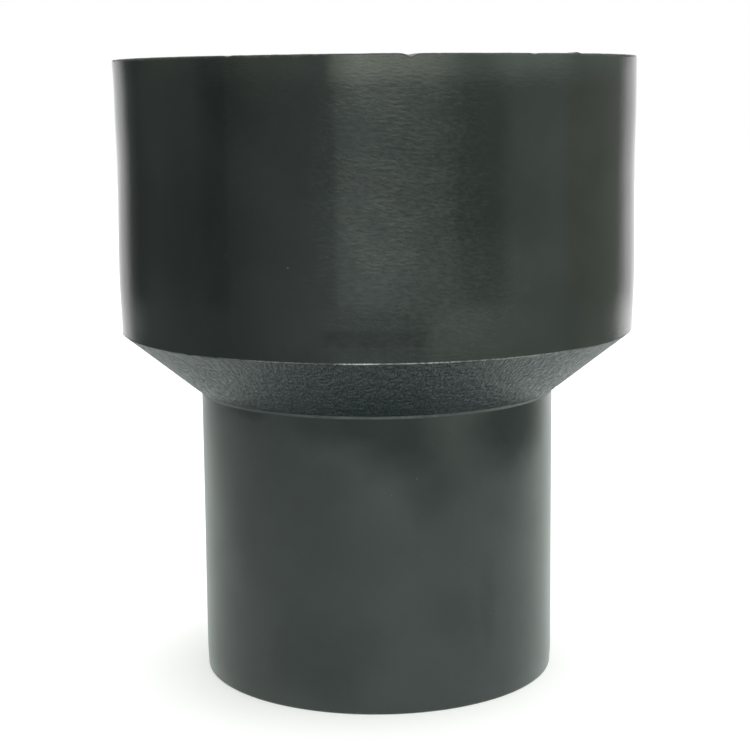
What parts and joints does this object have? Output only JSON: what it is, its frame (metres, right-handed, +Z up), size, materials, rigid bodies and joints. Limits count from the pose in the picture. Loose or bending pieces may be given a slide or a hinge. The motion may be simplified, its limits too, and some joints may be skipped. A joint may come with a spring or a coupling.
{
  "type": "concentric pipe reducer",
  "caption": "Short plastic pipe reducer with a wide plain spigot, a steep grained cone and a narrow plain spigot on one axis, to join a wide drain pipe to a narrow one.",
  "frame": {"origin": "centre of the small end's rim, which the part stands on", "axes": "+Z up the common axis of both ends, from the small end to the large end"},
  "size_m": [0.1104, 0.1104, 0.1324],
  "materials": {
    "large_spigot": "dark grey-green, semi-gloss, lightly scuffed",
    "seam_bead": "dark grey-green, slightly paler where the flash was trimmed",
    "grained_cone": "dark grey-green, fine moulded grain",
    "small_spigot": "dark grey-green, smooth satin, faintly clouded"
  },
  "bodies": {
    "root": {"large_spigot": "large_spigot", "upper_seam_bead": "seam_bead", "transition_cone": "grained_cone", "lower_seam_bead": "seam_bead", "small_spigot": "small_spigot"}
  },
  "joints": []
}
